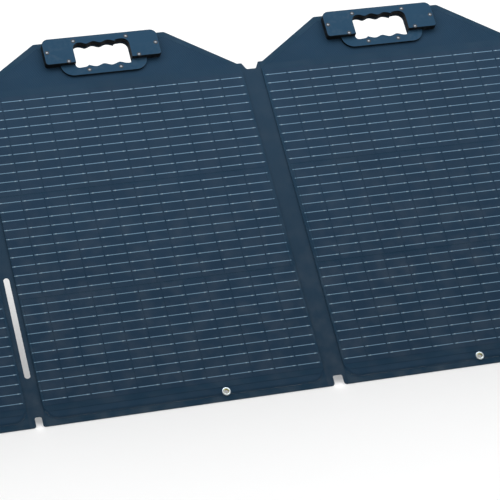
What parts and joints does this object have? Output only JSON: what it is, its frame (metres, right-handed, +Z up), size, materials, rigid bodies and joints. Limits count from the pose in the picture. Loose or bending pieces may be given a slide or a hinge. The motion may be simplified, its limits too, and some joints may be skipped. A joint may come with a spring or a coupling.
{
  "type": "folding solar suitcase",
  "caption": "Folding solar panel suitcase: padded fabric panels with grip handles on fabric hinges, leaning back on rear stands.",
  "frame": {"origin": "middle of the kit's footprint, on the ground that it stands on", "axes": "+X along the opened kit, to the right seen from the sun side; +Z up; the faces look towards -Y"},
  "size_m": [1.927, 0.5233, 0.4477],
  "materials": {
    "panel_fabric": "coated woven shell, dark blue, pressed hem",
    "hinge_fabric": "coated woven fabric, dark blue, a little greyer",
    "core_board": "stiff glass-fibre board",
    "laminate": "embossed dark backing sheet",
    "solar_cell": "silicon under a frosted clear film",
    "ribbon": "tinned ribbon under the film, darkened",
    "grip_plastic": "moulded, fine matte texture, blue-grey",
    "rivet_metal": "bright domed rivet",
    "eyelet_metal": "nickel over brass eyelet",
    "stand_fabric": "fabric-covered board, near black",
    "foot_rubber": "black rubber channel",
    "webbing": "flat woven webbing, black",
    "box_plastic": "moulded, fine texture, black",
    "pouch_fabric": "woven pouch, near black"
  },
  "bodies": {
    "strip_middle": {"hinge_middle": "hinge_fabric"},
    "panel_2": {"back_cover_2": "panel_fabric", "core_board_2": "core_board", "front_cover_2": "panel_fabric", "laminate_2": "laminate", "cells_2": "solar_cell", "ribbons_2": "ribbon", "grip_bar_2": "grip_plastic", "boat_plate_2": "grip_plastic", "back_plate_2": "grip_plastic", "rivets_2": "rivet_metal", "eyelet_2": "eyelet_metal"},
    "strip_left": {"hinge_left": "hinge_fabric"},
    "panel_1": {"back_cover_1": "panel_fabric", "core_board_1": "core_board", "front_cover_1": "panel_fabric", "laminate_1": "laminate", "cells_1": "solar_cell", "ribbons_1": "ribbon", "grip_bar_1": "grip_plastic", "boat_plate_1": "grip_plastic", "back_plate_1": "grip_plastic", "rivets_1": "rivet_metal", "eyelet_1": "eyelet_metal", "stand_tape_left": "webbing", "stand_strap_left": "webbing", "lead_pouch": "pouch_fabric"},
    "panel_3": {"back_cover_3": "panel_fabric", "core_board_3": "core_board", "front_cover_3": "panel_fabric", "laminate_3": "laminate", "cells_3": "solar_cell", "ribbons_3": "ribbon", "grip_bar_3": "grip_plastic", "boat_plate_3": "grip_plastic", "back_plate_3": "grip_plastic", "rivets_3": "rivet_metal", "eyelet_3": "eyelet_metal"},
    "strip_right": {"hinge_right": "hinge_fabric"},
    "panel_4": {"back_cover_4": "panel_fabric", "core_board_4": "core_board", "front_cover_4": "panel_fabric", "laminate_4": "laminate", "cells_4": "solar_cell", "ribbons_4": "ribbon", "grip_bar_4": "grip_plastic", "boat_plate_4": "grip_plastic", "back_plate_4": "grip_plastic", "rivets_4": "rivet_metal", "eyelet_4": "eyelet_metal", "stand_tape_right": "webbing", "stand_strap_right": "webbing", "junction_box": "box_plastic", "junction_lid": "box_plastic", "output_sockets": "box_plastic"},
    "stand_left": {"stand_board_left": "stand_fabric", "stand_foot_left": "foot_rubber"},
    "stand_right": {"stand_board_right": "stand_fabric", "stand_foot_right": "foot_rubber"}
  },
  "joints": [
    {"name": "fold_middle_left", "type": "hinge", "parent": "strip_middle", "child": "panel_2", "pos_m": [-0.0165, -0.03042, 0.19284], "axis": [0, -0.766, -0.6428], "range_deg": [0, 90]},
    {"name": "fold_middle_right", "type": "hinge", "parent": "strip_middle", "child": "panel_3", "pos_m": [0.0165, -0.03042, 0.19284], "axis": [0, 0.766, 0.6428], "range_deg": [0, 90]},
    {"name": "fold_left_inner", "type": "hinge", "parent": "panel_2", "child": "strip_left", "pos_m": [-0.4745, -0.03254, 0.19536], "axis": [0, 0.766, 0.6428], "range_deg": [0, 90]},
    {"name": "fold_left_outer", "type": "hinge", "parent": "strip_left", "child": "panel_1", "pos_m": [-0.4995, -0.03254, 0.19536], "axis": [0, 0.766, 0.6428], "range_deg": [0, 90]},
    {"name": "fold_right_inner", "type": "hinge", "parent": "panel_3", "child": "strip_right", "pos_m": [0.4745, -0.03254, 0.19536], "axis": [0, -0.766, -0.6428], "range_deg": [0, 90]},
    {"name": "fold_right_outer", "type": "hinge", "parent": "strip_right", "child": "panel_4", "pos_m": [0.4995, -0.03254, 0.19536], "axis": [0, -0.766, -0.6428], "range_deg": [0, 90]},
    {"name": "stand_left_fold", "type": "hinge", "parent": "panel_1", "child": "stand_left", "pos_m": [-0.7285, 0.04876, 0.25405], "axis": [-1, 0, 0], "range_deg": [0, 85], "deforming": ["stand_strap_left"]},
    {"name": "stand_right_fold", "type": "hinge", "parent": "panel_4", "child": "stand_right", "pos_m": [0.7285, 0.04876, 0.25405], "axis": [-1, 0, 0], "range_deg": [0, 85], "deforming": ["stand_strap_right"]}
  ],
  "couplings": [
    {"joint": "fold_left_outer", "follows": "fold_left_inner", "ratio": 1},
    {"joint": "fold_middle_right", "follows": "fold_middle_left", "ratio": 1},
    {"joint": "fold_right_inner", "follows": "fold_middle_left", "ratio": 1},
    {"joint": "fold_right_outer", "follows": "fold_middle_left", "ratio": 1}
  ]
}
